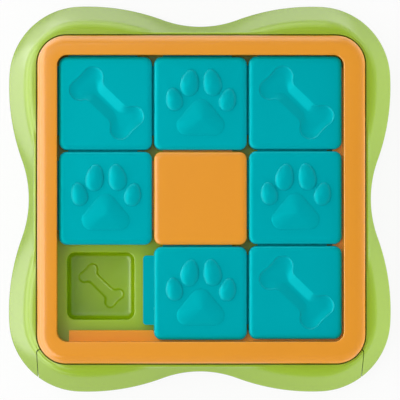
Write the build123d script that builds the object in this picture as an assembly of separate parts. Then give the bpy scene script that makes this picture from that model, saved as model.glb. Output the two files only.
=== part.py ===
from build123d import *
import math
import os

# A sliding-tile treat puzzle for a dog. Lengths are in millimetres and angles in degrees.
# +X is right, +Y is back and +Z is up. The origin is on the ground, under the middle of the toy.
# Eight tiles slide in a square frame round one empty cell, and each tile covers a treat cup.
# The cups are the floor of a drawer, which pulls out towards the front.

# ---- Tile grid: three rows of three cells
PITCH = 65.0  # from one cell to the next
TILE_GAP = 1.2  # between neighbouring tiles
EDGE_GAP = 1.15  # between the outer tiles and the frame
COLUMN_PLAY = 0.5  # how far the right-hand column rests towards the back in its clearance
TILE_CORNER = 5.5
TILE_EDGE = 1.4  # bevel along the top of a tile
ROWS = ("back", "middle", "front")
COLUMNS = ("left", "centre", "right")
LAYOUT = (("bone", "paw", "bone"), ("paw", "plain", "paw"), (None, "paw", "bone"))

# ---- Tile, from its bottom plate up
PLATE = 2.5
GROOVE_HEIGHT = 4.0
CAP_HEIGHT = 5.5
CAP_ROOF = 4.0
CORE_WALL = 2.4
LIP_HEIGHT = 1.5  # of the cap's lip, which drops into the slider's core
LIP_WALL = 1.6
LIP_CLEARANCE = 0.1
GROOVE_DEPTH = 8.0  # open along the tile's right and front sides
TONGUE_REACH = 7.4  # stands out of the tile's left and back sides
TONGUE_LENGTH = 47.5
TONGUE_SHIFT = 2.0  # towards the tile's back left corner, away from the open grooves
TONGUE_THICKNESS = 3.0
TONGUE_CORNER = 2.3

# ---- Bone sunk in a tile, and the smaller one in the floor of a cup
BONE_SPAN = 40.0  # between the middles of the two knobbly ends
BONE_END = 16.4  # between the two knobs of one end
BONE_KNOB = 7.0
BONE_SHAFT = 7.8  # half its width
BONE_NECK = 5.0  # hollow between shaft and knob
BONE_NOTCH = 30.0  # hollow between the two knobs
BONE_DEPTH = 2.2
BONE_BANK = 4.4  # run of its sloping sides
BONE_TURN = -44.5  # of the shaft, from +X
BONE_SKEW = -7.0  # of the ends, from square
CUP_BONE_SPAN = 25.0
CUP_BONE_END = 8.0
CUP_BONE_KNOB = 4.2
CUP_BONE_SHAFT = 4.4
CUP_BONE_NECK = 3.0
CUP_BONE_NOTCH = 20.0
CUP_BONE_DEPTH = 1.2

# ---- Paw raised on a tile: each pad is a hull of circles (x, y, radius) with a broad bevel
PAW_PAD = ((0.0, -0.9, 4.4), (-9.9, -14.3, 6.7), (9.9, -14.3, 6.7))
PAW_PAD_HEIGHT = 2.4
INNER_TOE = ((0.0, -3.1, 6.1), (0.0, 4.9, 4.4))
OUTER_TOE = ((0.0, -2.4, 5.5), (0.0, 3.6, 4.3))
TOE_HEIGHT = 2.2
PAD_BEVEL = 1.6
TOES = (  # shape, x, y, lean
    (OUTER_TOE, -17.8, 2.4, 12.0),
    (INNER_TOE, -7.1, 13.7, -10.0),
    (INNER_TOE, 7.9, 14.1, 10.0),
    (OUTER_TOE, 18.4, 2.4, -12.0),
)

# ---- Frame round the tiles
RIM_WIDTH = 14.45
RIM_PROUD = 3.0  # above the tops of the tiles
FRAME_SHIFT = (0.6, -0.7)  # of its outer sides, so that the rim is wider on the right and in front
FRAME_CORNER = 20.0
OPENING_CORNER = 7.0
RIM_ROLL = 7.0  # rounding of the outer top edge
RIM_LIP = 0.8  # bevel of the inner top edge
SKIRT = 3.0
CHANNEL_ROOF = 3.6
CHANNEL_WALL = 2.4
NEST_GAP = 0.2  # between the bezel's skirt and the guide frame inside it
RAIL_REACH = 7.6  # tongue of the guide frame along the front and right of the opening
RAIL_SETBACK = 8.0  # short of the opening's left and back sides
RAIL_EDGE = 0.6
TRACK_DEPTH = 7.5  # groove of the guide frame along the left and back
TRACK_SETBACK = 6.0  # short of the opening's front and right sides

# ---- Base outline: four lobes and four waists, in arcs that run smoothly into each other
WAIST_MARGIN = (6.6, 7.5)  # green beside the frame at the waists of its sides, and of its ends
LOBE_MARGIN = (20.3, 21.5)  # the same at the lobes
LOBE_BACKSET = 34.5  # of a lobe's widest point, from the frame's corner
CORNER_MARGIN = 6.0  # past the frame's sides, on the diagonal
LOBE_SIDE_RADIUS = 150.0
REVEAL = 0.9  # groove round the frame
COLLAR = 1.7  # straight wall round that groove, which stands free at the waists
COLLAR_DROP = 1.0  # from the deck to its top
COLLAR_EDGE = 0.8

# ---- Base, from the ground up
FOOT_HEIGHT = 2.0
FLOOR = 2.5
GUIDE_RAIL = 2.1
RUNNING_GAP = 0.3
SKID = 3.0
CUP_FLOOR = 2.5
CUP_DEPTH = 20.0
TILE_CLEARANCE = 0.6  # between the drawer and the tiles and frame over it
DECK_DROP = 8.0  # from the frame's top to the base's deck
SIDE_TILT = 64.0  # of the side, from level
SIDE_RUN = 11.0  # how far it leans in
ROLL_RADIUS = 9.5  # where it rolls over into the deck
OUTER_BANDS = 3  # straight bands in that roll
INNER_BANDS = 2
TUCK = 3.0  # how far the bottom edge is drawn in
WALL = 2.6
FLOOR_FIT = 0.4

# ---- Drawer
BAY_LAP = 3.95  # how far the frame laps over each side of the bay
BAY_WALL = 2.0
BAY_GAP = 0.6
FRONT_LAP = 8.5  # how far the drawer front reaches in under the frame
SEAM = 0.5
SEAM_CORNER = 2.0
TRAY_DECK = 2.2
TRAY_SKIRT = 2.0
CUP_SIDE = 46.0
CUP_CORNER = 5.5
CUP_WALL = 2.2
CUP_LIP = 1.0
CUP_FOOT = 2.4  # bevel round the floor of a cup
CUP_SHIFT = (-3.5, 4.7)  # cups sit left of and behind their cells, under the tiles' cores
SKID_WIDTH = 3.0
SKID_ROOT = 1.0  # how far the skids and the stop reach up into the cups' floors
RAIL_WIDTH = 8.0
RAIL_LINE = 68.7
TRAVEL = 150.0
STOP_WIDTH = 20.0
STOP_THICKNESS = 4.0
STOP_SETBACK = 9.0
TAB_LINES = (-70.0, 0.0, 70.0)
TAB_WIDTH = 16.0
TAB_THICKNESS = 2.4
TAB_LEVEL = 20.0
TAB_HOOK = 1.6
TAB_GAP = 0.2
PULL_WIDTH = 58.0
PULL_RISE = 8.0
PULL_CORNER = 6.0

# ---- Screws and feet
SHANK_RADIUS = 1.5
HEAD_RADIUS = 2.8
HEAD_HEIGHT = 1.2
SCREW_CLEARANCE = 0.05
HEAD_CLEARANCE = 0.15
BOSS_RADIUS = 3.5
SCREW_SETBACK = 5.5  # of the screws' line, from the frame's outer sides
FLOOR_SCREW_BITE = 10.0
FRAME_SCREW_BITE = 3.6
FLOOR_SCREW_SPREAD = 50.0
FRAME_SCREW_SPREAD = 95.0
FOOT_RADIUS = 9.0
FOOT_SPREAD = 88.0
FOOT_SINK = 1.0
FOOT_CLEARANCE = 0.1

# ---- Plan sizes that follow
tile = PITCH - TILE_GAP
tile_half = tile / 2
opening = 2 * PITCH + tile + 2 * EDGE_GAP
frame_side = opening + 2 * RIM_WIDTH
frame_half = frame_side / 2
bay_half = opening / 2 + BAY_LAP
tray_half = bay_half - BAY_GAP
front_line = -(frame_half - FRONT_LAP)
floor_inset = TUCK + WALL + FLOOR_FIT
BONE = (BONE_SPAN, BONE_END, BONE_KNOB, BONE_SHAFT, BONE_NECK, BONE_NOTCH)
CUP_BONE = (CUP_BONE_SPAN, CUP_BONE_END, CUP_BONE_KNOB, CUP_BONE_SHAFT, CUP_BONE_NECK, CUP_BONE_NOTCH)
core_low = (-tile_half, -tile_half + GROOVE_DEPTH)
core_high = (tile_half - GROOVE_DEPTH, tile_half)

# ---- Levels that follow
floor_top = FOOT_HEIGHT + FLOOR
rail_top = floor_top + GUIDE_RAIL
skid_bottom = rail_top + RUNNING_GAP
cup_under = skid_bottom + SKID
cup_bottom = cup_under + CUP_FLOOR
tray_top = cup_bottom + CUP_DEPTH
seat = tray_top + TILE_CLEARANCE
ledge_under = seat - WALL
plate_top = seat + PLATE
cap_bottom = plate_top + GROOVE_HEIGHT
tile_top = cap_bottom + CAP_HEIGHT
frame_top = tile_top + RIM_PROUD
deck_top = frame_top - DECK_DROP
tilt = math.radians(SIDE_TILT)
belly_height = deck_top - SIDE_RUN * math.tan(tilt) - ROLL_RADIUS * (1 - math.cos(tilt))
tongue_low = plate_top + (GROOVE_HEIGHT - TONGUE_THICKNESS) / 2
tongue_high = tongue_low + TONGUE_THICKNESS
channel_top = frame_top - CHANNEL_ROOF
BEYOND = 60.0  # how far a cut runs past what it cuts


def span(low, high):
    """A plain box from one corner to the other."""
    size = [b - a for a, b in zip(low, high)]
    return Pos(*low) * Box(*size, align=(Align.MIN, Align.MIN, Align.MIN))


def block(side, corner, low, high):
    """A square block with rounded upright edges, centred on the origin's axis."""
    return extrude(Pos(0, 0, low) * RectangleRounded(side, side, corner), high - low)


def post(x, y, radius, low, high):
    """An upright cylinder."""
    return Pos(x, y, low) * Cylinder(radius, high - low, align=(Align.CENTER, Align.CENTER, Align.MIN))


def top_edges(part, level):
    """The edges that lie wholly in one level plane."""
    return part.edges().filter_by_position(Axis.Z, level - 1e-4, level + 1e-4)


# ---- Base outline


def outline(inset):
    """The base's wavy outline as a face on the ground, drawn in by an inset.

    A quarter of it is half of a side's hollow waist arc, a lobe's side arc, its corner arc, and the
    same again for the end. A side arc meets its waist arc where the line between their centres
    crosses them. The corner arc touches both side arcs from inside.
    """
    along = frame_half - LOBE_BACKSET
    waist_ends, side_centres, waist_middles = [], [], []
    for waist_margin, lobe_margin in zip(WAIST_MARGIN, LOBE_MARGIN):
        waist, tip = frame_half + waist_margin, frame_half + lobe_margin
        centres = ((tip - waist) ** 2 + along**2) / (2 * (tip - waist))
        waist_radius = centres - LOBE_SIDE_RADIUS
        waist_centre = Vector(waist + waist_radius, 0)
        side_centre = Vector(tip - LOBE_SIDE_RADIUS, along)
        way = (side_centre - waist_centre).normalized()
        waist_ends.append(waist_centre + way * (waist_radius + inset))
        waist_middles.append(Vector(waist - inset, 0))
        side_centres.append(side_centre)

    def over(point):
        return Vector(point.Y, point.X)

    side_centre, end_centre = side_centres[0], over(side_centres[1])
    across = Vector(side_centre.Y - end_centre.Y, end_centre.X - side_centre.X).normalized()
    diagonal = (frame_half + CORNER_MARGIN) * math.sqrt(2)
    middle = (side_centre + end_centre) / 2
    spare = LOBE_SIDE_RADIUS - diagonal + middle.dot(across)
    half_gap = (side_centre - end_centre).length / 2
    corner_centre = middle + across * (half_gap**2 - spare**2) / (2 * spare)
    reach = LOBE_SIDE_RADIUS - inset

    def toward(start, *ways):
        way = sum(((w - start).normalized() for w in ways[1:]), (ways[0] - start).normalized())
        return way.normalized()

    side_end = side_centre + toward(side_centre, corner_centre) * reach
    end_end = end_centre + toward(end_centre, corner_centre) * reach
    side_start, end_start = waist_ends[0], over(waist_ends[1])
    corner_reach = (side_end - corner_centre).length
    quarter = (
        (side_start, side_centre + toward(side_centre, side_start, side_end) * reach, side_end),
        (side_end, corner_centre + across * corner_reach, end_end),
        (end_end, end_centre + toward(end_centre, end_start, end_end) * reach, end_start),
    )
    side_waist = (Vector(side_start.X, -side_start.Y), waist_middles[0], side_start)
    end_waist = (end_start, over(waist_middles[1]), Vector(-end_start.X, end_start.Y))
    arcs = [side_waist, *quarter, end_waist]
    arcs += [[Vector(-p.X, p.Y) for p in reversed(arc)] for arc in reversed(quarter)]
    arcs += [[p * -1 for p in arc] for arc in arcs[:8]]
    return make_face([ThreePointArc(*arc) for arc in arcs])


def wavy_solid(skin, bands):
    """The base's outer form, or the same form a skin's thickness inside it.

    Its side is tucked in below the belly, leans in above it and then rolls over to the deck.
    """
    levels = [(TUCK + skin, FOOT_HEIGHT), (skin * math.sin(tilt), belly_height - skin * math.cos(tilt))]
    for band in range(bands + 1):
        angle = tilt * (1 - band / bands)
        run = SIDE_RUN + ROLL_RADIUS * (math.sin(tilt) - math.sin(angle))
        level = deck_top - ROLL_RADIUS * (1 - math.cos(angle))
        levels.append((run + skin * math.sin(angle), level - skin * math.cos(angle)))
    return loft([Pos(0, 0, level) * outline(inset) for inset, level in levels], ruled=True)


def collar(skin):
    """The straight wall round the frame, filled in, or what fits a skin's thickness inside it."""
    grow = REVEAL + COLLAR - skin
    side = frame_side + 2 * grow
    low, high = belly_height, deck_top - COLLAR_DROP - skin
    return Pos(*FRAME_SHIFT) * block(side, FRAME_CORNER + grow, low, high)


# ---- Screws


def screw(x, y, under_head, top):
    """A pan-head screw that points up."""
    head = post(x, y, HEAD_RADIUS, under_head - HEAD_HEIGHT, under_head)
    return head + post(x, y, SHANK_RADIUS, under_head, top)


def screw_hole(x, y, low, high):
    """Clearance for a screw's shank."""
    return post(x, y, SHANK_RADIUS + SCREW_CLEARANCE, low, high)


def four_places(x, y):
    """The four mirrored places of a screw or a foot."""
    return [(side * x, end * y) for side in (-1, 1) for end in (-1, 1)]


screw_line = frame_half - SCREW_SETBACK
floor_screw_places = four_places(screw_line, FLOOR_SCREW_SPREAD)
frame_screw_places = four_places(screw_line, FRAME_SCREW_SPREAD)
foot_places = {
    "foot_front_left": (-FOOT_SPREAD, -FOOT_SPREAD),
    "foot_front_right": (FOOT_SPREAD, -FOOT_SPREAD),
    "foot_back_left": (-FOOT_SPREAD, FOOT_SPREAD),
    "foot_back_right": (FOOT_SPREAD, FOOT_SPREAD),
}
floor_head_seat = FOOT_HEIGHT + HEAD_HEIGHT + HEAD_CLEARANCE


def screws(places, under_head, top):
    """One node's screws, as separate solids."""
    return Compound([screw(x, y, under_head, top).solid() for x, y in places])


# ---- Base


def recess(grow, low):
    """Room for the frame in the base, from a low level up."""
    side = frame_side + 2 * (REVEAL + grow)
    return Pos(*FRAME_SHIFT) * block(side, FRAME_CORNER + REVEAL + grow, low, frame_top)


def front_zone(half, back):
    """The part of the base that the drawer front takes up, with its back corners rounded."""
    zone = span((-half, back - BEYOND, -BEYOND), (half, back, BEYOND))
    return fillet(zone.edges().filter_by(Axis.Z).sort_by(Axis.Y)[-2:], SEAM_CORNER)


def make_base_shell(outside, hollow):
    """A hollow moulding, open below, with a ledge for the frame and a bay for the drawer."""
    bay_outer = bay_half + BAY_WALL
    seam_line = front_line + SEAM
    hollow = hollow - span((-bay_outer, -BEYOND - frame_half, -BEYOND), (bay_outer, bay_outer, BEYOND))
    hollow -= recess(WALL, ledge_under)
    hollow -= front_zone(frame_half + WALL, seam_line + WALL)
    for x, y in floor_screw_places:
        hollow -= post(x, y, BOSS_RADIUS, floor_top, seat)
    shell = outside - hollow
    shell -= span((-bay_half, -BEYOND - frame_half, -BEYOND), (bay_half, bay_half, seat))
    shell -= recess(0, seat)
    shell -= front_zone(frame_half, seam_line)
    shell -= extrude(Pos(0, 0, FOOT_HEIGHT) * outline(floor_inset - FLOOR_FIT), FLOOR)
    for x, y in floor_screw_places:
        shell -= screw_hole(x, y, floor_top, floor_top + FLOOR_SCREW_BITE + 1)
    for x, y in frame_screw_places:
        shell -= screw_hole(x, y, ledge_under, seat)
    return shell


def make_base_floor():
    """The bottom plate, with the drawer's rails and its stop."""
    floor = extrude(Pos(0, 0, FOOT_HEIGHT) * outline(floor_inset), FLOOR)
    for side in (-1, 1):
        middle = side * RAIL_LINE
        floor += span(
            (middle - RAIL_WIDTH / 2, front_line + WALL, floor_top),
            (middle + RAIL_WIDTH / 2, tray_half, rail_top),
        )
    stop_back = tray_half - STOP_SETBACK - STOP_THICKNESS - TRAVEL - RUNNING_GAP
    floor += span(
        (-STOP_WIDTH / 2, stop_back - STOP_THICKNESS, floor_top), (STOP_WIDTH / 2, stop_back, skid_bottom)
    )
    for x, y in floor_screw_places:
        floor -= screw_hole(x, y, FOOT_HEIGHT, floor_top)
        floor -= post(x, y, HEAD_RADIUS + HEAD_CLEARANCE, FOOT_HEIGHT, floor_head_seat)
    for x, y in foot_places.values():
        floor -= post(x, y, FOOT_RADIUS + FOOT_CLEARANCE, FOOT_HEIGHT, FOOT_HEIGHT + FOOT_SINK)
    return floor


# ---- Drawer


def make_drawer_front(outside, hollow):
    """The front of the base, which closes the bay and leads the tray out."""
    half = frame_half - SEAM
    front = outside & front_zone(half, front_line)
    cavity = hollow & front_zone(half - WALL, front_line - WALL)
    cavity -= recess(WALL, tray_top - WALL)
    front -= cavity
    front -= recess(0, tray_top)
    front -= extrude(Pos(0, 0, -1) * outline(floor_inset - FLOOR_FIT), floor_top + RUNNING_GAP + 1)
    pull = Plane.XZ.offset(frame_half) * Pos(0, FOOT_HEIGHT) * RectangleRounded(
        PULL_WIDTH, 2 * PULL_RISE, PULL_CORNER
    )
    front -= extrude(pull, BEYOND)
    for line in TAB_LINES:
        front -= span(
            (line - TAB_WIDTH / 2 - TAB_GAP, front_line - WALL, TAB_LEVEL - TAB_GAP),
            (line + TAB_WIDTH / 2 + TAB_GAP, front_line, TAB_LEVEL + TAB_THICKNESS + TAB_HOOK + TAB_GAP),
        )
    return front


def make_treat_tray():
    """A skirted deck with nine cups hanging from it, and two skids that run on the floor's rails."""
    inner = tray_half - TRAY_SKIRT
    tray = span((-tray_half, front_line, cup_under), (tray_half, tray_half, tray_top))
    tray -= span((-inner, front_line + TRAY_SKIRT, cup_under), (inner, inner, tray_top - TRAY_DECK))
    cup_outer = block(CUP_SIDE + 2 * CUP_WALL, CUP_CORNER + CUP_WALL, cup_under, tray_top - TRAY_DECK)
    cup_inner = block(CUP_SIDE, CUP_CORNER, cup_bottom, tray_top)
    cup_inner = chamfer(top_edges(cup_inner, cup_bottom), CUP_FOOT)
    cup_inner += bone(*CUP_BONE, CUP_BONE_DEPTH, 0, cup_bottom)
    steps = (-PITCH, 0, PITCH)
    cup_places = [Pos(x + CUP_SHIFT[0], y + CUP_SHIFT[1]) for y in steps for x in steps]
    for place in cup_places:
        tray += place * cup_outer
    for side in (-1, 1):
        middle = side * RAIL_LINE
        tray += span(
            (middle - SKID_WIDTH / 2, front_line + TRAY_SKIRT / 2, skid_bottom),
            (middle + SKID_WIDTH / 2, tray_half - TRAY_SKIRT / 2, cup_under + SKID_ROOT),
        )
    stop_front = tray_half - STOP_SETBACK - STOP_THICKNESS
    tray += span(
        (-STOP_WIDTH / 2, stop_front, floor_top + RUNNING_GAP),
        (STOP_WIDTH / 2, stop_front + STOP_THICKNESS, cup_under + SKID_ROOT),
    )
    hook_back = front_line - WALL - TAB_GAP
    tab_top = TAB_LEVEL + TAB_THICKNESS
    for line in TAB_LINES:
        low, high = line - TAB_WIDTH / 2, line + TAB_WIDTH / 2
        tab = span((low, hook_back - TAB_HOOK, TAB_LEVEL), (high, front_line + TRAY_SKIRT / 2, tab_top))
        tray += tab + span((low, hook_back - TAB_HOOK, TAB_LEVEL), (high, hook_back, tab_top + TAB_HOOK))
    for place in cup_places:
        tray -= place * cup_inner
    tray = chamfer([e for e in top_edges(tray, tray_top) if not on_rim(e)], CUP_LIP)
    return tray


def on_rim(edge):
    """Whether an edge lies along the tray's outer rim."""
    box = edge.bounding_box()
    return max(box.max.X, box.max.Y, -box.min.X, -box.min.Y) > tray_half - 1


# ---- Frame


def make_frame_bezel():
    """The raised rim: a rounded channel, open below, with a skirt that stands on the base's ledge."""
    bezel = block(frame_side, FRAME_CORNER, seat, frame_top)
    bezel = Pos(*FRAME_SHIFT) * fillet(top_edges(bezel, frame_top), RIM_ROLL)
    bezel -= block(opening, OPENING_CORNER, seat, frame_top)
    bezel = chamfer(bezel.faces().sort_by(Axis.Z)[-1].inner_wires()[0].edges(), RIM_LIP)
    nest = frame_side - 2 * SKIRT
    bezel -= block(nest, FRAME_CORNER - SKIRT, seat, cap_bottom)
    channel = block(nest, FRAME_CORNER - SKIRT, cap_bottom, channel_top)
    channel -= block(opening + 2 * CHANNEL_WALL, OPENING_CORNER + CHANNEL_WALL, cap_bottom, channel_top)
    for x, y in frame_screw_places:
        channel -= post(x, y, BOSS_RADIUS, cap_bottom, channel_top)
        channel += screw_hole(x, y, cap_bottom, cap_bottom + FRAME_SCREW_BITE + 0.4)
    return bezel - channel


def make_guide_frame():
    """The lower frame: a track for tongues on the left and back, a rail for grooves on the others."""
    half = opening / 2
    nest = frame_side - 2 * (SKIRT + NEST_GAP)
    guide = block(nest, FRAME_CORNER - SKIRT - NEST_GAP, seat, cap_bottom)
    guide -= block(opening, OPENING_CORNER, seat, cap_bottom)
    track = half + TRACK_DEPTH
    guide -= span((-track, -half + TRACK_SETBACK, plate_top), (0, half - TRACK_SETBACK, cap_bottom))
    guide -= span((-half + TRACK_SETBACK, 0, plate_top), (half - TRACK_SETBACK, track, cap_bottom))
    rail_line = half - RAIL_REACH
    rails = span((rail_line, -half, tongue_low), (half + 1, half - RAIL_SETBACK, tongue_high))
    rails += span((-half + RAIL_SETBACK, -half - 1, tongue_low), (half + 1, -rail_line, tongue_high))
    lips = [
        e
        for e in top_edges(rails, tongue_high)
        if abs(e.center().X - rail_line) < 1e-3 or abs(e.center().Y + rail_line) < 1e-3
    ]
    guide += chamfer(lips, RAIL_EDGE)
    for x, y in frame_screw_places:
        guide -= screw_hole(x, y, seat, cap_bottom)
    return guide


# ---- Tiles


def bone_outline(length, end, knob, shaft, neck, notch, inset):
    """A bone along X, drawn in by an inset: knob arcs, hollow necks and notches, and a straight shaft.

    Each hollow arc touches its two neighbours: its centre is one hollow radius off both of them.
    """
    middle = Vector(length / 2, 0)
    knob_way = Vector(end / 2, 0).rotate(Axis.Z, 90 + BONE_SKEW)
    high, low = middle + knob_way, middle - knob_way
    out = math.sqrt((knob + notch) ** 2 - (end / 2) ** 2)
    notch_centre = middle + knob_way.normalized().rotate(Axis.Z, -90) * out

    def neck_centre(at, side):
        rise = shaft + neck - side * at.Y
        return Vector(at.X - math.sqrt((knob + neck) ** 2 - rise**2), side * (shaft + neck))

    def touch(at, hollow):
        return at + (hollow - at).normalized() * (knob - inset)

    def arc(centre, start, end, radius):
        way = (start - centre).normalized() + (end - centre).normalized()
        return way.normalized() * radius + centre

    def bulge(at, start, end):
        return at + (end - start).normalized().rotate(Axis.Z, -90) * (knob - inset)

    high_neck, low_neck = neck_centre(high, 1), neck_centre(low, -1)
    points = [
        Vector(low_neck.X, -shaft + inset),
        arc(low_neck, Vector(low_neck.X, 0), touch(low, low_neck), neck + inset),
        touch(low, low_neck),
        bulge(low, touch(low, low_neck), touch(low, notch_centre)),
        touch(low, notch_centre),
        middle + (notch_centre - middle).normalized() * (out - notch - inset),
        touch(high, notch_centre),
        bulge(high, touch(high, notch_centre), touch(high, high_neck)),
        touch(high, high_neck),
        arc(high_neck, Vector(high_neck.X, 0), touch(high, high_neck), neck + inset),
        Vector(high_neck.X, shaft - inset),
    ]
    arcs = [ThreePointArc(*points[start : start + 3]) for start in range(0, 10, 2)]
    half = arcs + [Line(points[-1], points[0] * -1)]
    return make_face(half + [Rot(0, 0, 180) * edge for edge in half])


def bone(length, end, knob, shaft, neck, notch, depth, bank, surface):
    """What a bone-shaped dish with sloping sides takes out of a surface."""
    sizes = (length, end, knob, shaft, neck, notch)
    floor, rim = bone_outline(*sizes, bank), bone_outline(*sizes, 0)
    dish = loft([Pos(0, 0, surface - depth) * floor, Pos(0, 0, surface) * rim], ruled=True)
    return Rot(0, 0, BONE_TURN) * dish


def raised_pad(circles, height):
    """A pad with a broad bevel, on the hull of some circles."""
    middle_y = sum(y for _, y, _ in circles) / len(circles)
    inward = [math.degrees(math.atan2(middle_y - y, -x)) for x, y, _ in circles]
    rings = [Pos(x, y) * Rot(0, 0, turn) * Circle(radius) for (x, y, radius), turn in zip(circles, inward)]
    pad = extrude(Pos(0, 0, tile_top) * make_hull([e for ring in rings for e in ring.edges()]), height)
    return chamfer(top_edges(pad, tile_top + height), PAD_BEVEL)


def make_cap(kind):
    """A tile's top half with its relief, and a lip below that drops into the slider."""
    cap = block(tile, TILE_CORNER, cap_bottom, tile_top)
    cap = chamfer(top_edges(cap, tile_top), TILE_EDGE)
    hollow_low = [a + CORE_WALL + LIP_CLEARANCE for a in core_low]
    hollow_high = [a - CORE_WALL - LIP_CLEARANCE for a in core_high]
    cap += span((*hollow_low, cap_bottom - LIP_HEIGHT), (*hollow_high, cap_bottom))
    cap -= span(
        (*(a + LIP_WALL for a in hollow_low), cap_bottom - LIP_HEIGHT),
        (*(a - LIP_WALL for a in hollow_high), tile_top - CAP_ROOF),
    )
    if kind == "bone":
        cap -= bone(*BONE, BONE_DEPTH, BONE_BANK, tile_top)
    if kind == "paw":
        cap += raised_pad(PAW_PAD, PAW_PAD_HEIGHT)
        for shape, x, y, lean in TOES:
            cap += Pos(x, y) * Rot(0, 0, lean) * raised_pad(shape, TOE_HEIGHT)
    return cap


def make_slider():
    """A tile's bottom half: plate, core and the two tongues that hold the tile in its neighbours."""
    core = block(tile, TILE_CORNER, plate_top, cap_bottom)
    core &= span((*core_low, plate_top), (*core_high, cap_bottom))
    core -= span(
        (*(a + CORE_WALL for a in core_low), plate_top), (*(a - CORE_WALL for a in core_high), cap_bottom)
    )
    slider = block(tile, TILE_CORNER, seat, plate_top) + core
    tongue = span(
        (-tile_half - TONGUE_REACH, TONGUE_SHIFT - TONGUE_LENGTH / 2, tongue_low),
        (-tile_half + CORE_WALL, TONGUE_SHIFT + TONGUE_LENGTH / 2, tongue_high),
    )
    tongue = fillet(tongue.edges().filter_by(Axis.Z).sort_by(Axis.X)[:2], TONGUE_CORNER)
    return slider + tongue + mirror(tongue, Plane((0, 0, 0), x_dir=(0, 0, 1), z_dir=(1, 1, 0)))


def tile_places():
    """Each tile's name, kind and place."""
    found = []
    for row, kinds in enumerate(LAYOUT):
        for column, kind in enumerate(kinds):
            if kind is not None:
                play = COLUMN_PLAY if COLUMNS[column] == "right" else 0
                place = Pos((column - 1) * PITCH, (1 - row) * PITCH + play)
                found.append((f"{ROWS[row]}_{COLUMNS[column]}", kind, place))
    return found


def main():
    rim = collar(0)
    outside = wavy_solid(0, OUTER_BANDS) + chamfer(top_edges(rim, deck_top - COLLAR_DROP), COLLAR_EDGE)
    hollow = wavy_solid(WALL, INNER_BANDS) + collar(WALL)
    nodes = {
        "base_shell": make_base_shell(outside, hollow),
        "base_floor": make_base_floor(),
        "floor_screws": screws(floor_screw_places, floor_head_seat, floor_top + FLOOR_SCREW_BITE),
        "drawer_front": make_drawer_front(outside, hollow),
        "treat_tray": make_treat_tray(),
        "frame_bezel": make_frame_bezel(),
        "guide_frame": make_guide_frame(),
        "frame_screws": screws(frame_screw_places, ledge_under, cap_bottom + FRAME_SCREW_BITE),
    }
    for name, (x, y) in foot_places.items():
        nodes[name] = post(x, y, FOOT_RADIUS, 0, FOOT_HEIGHT + FOOT_SINK)
    caps = {kind: make_cap(kind) for kind in ("bone", "paw", "plain")}
    slider = make_slider()
    for name, kind, place in tile_places():
        nodes[f"cap_{name}"] = place * caps[kind]
        nodes[f"slider_{name}"] = place * slider

    os.makedirs("parts", exist_ok=True)
    for name, part in nodes.items():
        export_step(part, f"parts/{name}.step")


main()
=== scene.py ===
import math

import bmesh
import bpy
import numpy as np
from mathutils import Matrix, Vector
from mathutils.geometry import delaunay_2d_cdt


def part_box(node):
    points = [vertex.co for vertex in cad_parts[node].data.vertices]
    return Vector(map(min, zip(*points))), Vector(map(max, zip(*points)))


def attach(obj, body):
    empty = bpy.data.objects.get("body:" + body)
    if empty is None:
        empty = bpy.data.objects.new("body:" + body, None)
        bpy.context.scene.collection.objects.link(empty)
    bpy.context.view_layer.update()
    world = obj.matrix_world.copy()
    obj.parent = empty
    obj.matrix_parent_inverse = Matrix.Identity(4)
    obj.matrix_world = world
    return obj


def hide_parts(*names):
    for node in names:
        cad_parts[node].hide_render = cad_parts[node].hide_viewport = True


# The looks of a sliding-tile treat puzzle for a dog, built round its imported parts.
# Shapes are worked out in millimetres. +X is right, +Y is back and +Z is up.

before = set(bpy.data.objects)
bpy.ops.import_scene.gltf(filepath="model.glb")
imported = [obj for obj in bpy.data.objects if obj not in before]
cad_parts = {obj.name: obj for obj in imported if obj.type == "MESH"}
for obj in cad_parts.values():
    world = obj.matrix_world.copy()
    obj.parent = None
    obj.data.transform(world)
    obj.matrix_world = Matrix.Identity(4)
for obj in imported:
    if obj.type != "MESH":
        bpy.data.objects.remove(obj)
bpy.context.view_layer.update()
MM = 0.001


def low(node):
    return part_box(node)[0] / MM


def high(node):
    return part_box(node)[1] / MM


# ---- Sizes that come from the frame
frame_half = (high("frame_bezel").x - low("frame_bezel").x) / 2
frame_x, frame_y = ((high("frame_bezel") + low("frame_bezel")) / 2).xy
frame_top = high("frame_bezel").z
seat = low("frame_bezel").z
base_under = low("base_shell").z
deck_top = high("base_shell").z
tile_half = (high("cap_middle_centre").x - low("cap_middle_centre").x) / 2
tile_top = high("cap_middle_centre").z
lip_under = low("cap_middle_centre").z
cap_bottom = high("slider_middle_centre").z
tray_top = high("treat_tray").z
tray_half = high("treat_tray").y
stop_under = low("treat_tray").z
pitch = high("cap_middle_centre").x - high("cap_middle_left").x

# ---- Sizes that the frame doesn't state: the base
STEP = 2.0  # along the base's outline
WAIST_MARGIN = (6.6, 7.5)  # beyond the frame, at the sides and at the ends
LOBE_MARGIN = (20.3, 21.5)
LOBE_BACKSET = 34.5
CORNER_MARGIN = 6.0
LOBE_SIDE_RADIUS = 150.0
SIDE_TILT = math.radians(64.0)
SIDE_RUN = 11.0
ROLL_RADIUS = 9.5
BELLY_ROLL = 5.0
TUCK = 3.0
REVEAL = 0.9  # gap round the frame
COLLAR = 1.7
COLLAR_DROP = 1.0
COLLAR_ROLL = 1.3
COLLAR_FOOT = 1.6
COLLAR_LAP = 2.0
COLLAR_SHARE = 0.4  # of the collar's rise, the most that its foot or its roll may take
TUCK_STEPS, BELLY_STEPS, SIDE_STEPS, FOOT_STEPS, ROLL_STEPS = 6, 5, 24, 4, 6
FARTHEST_INSET = 40.0
BAY_LAP = 3.95
PLATE_INSET = 5.6
PLATE = 2.5
RUNNING_GAP = 0.3
BEYOND = 60.0  # how far cutting tools reach past what they cut
OVER_TOP = 5.0  # the same, above the frame
CLEAR = 1.0  # the same, for tools that end beside other pieces

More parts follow.
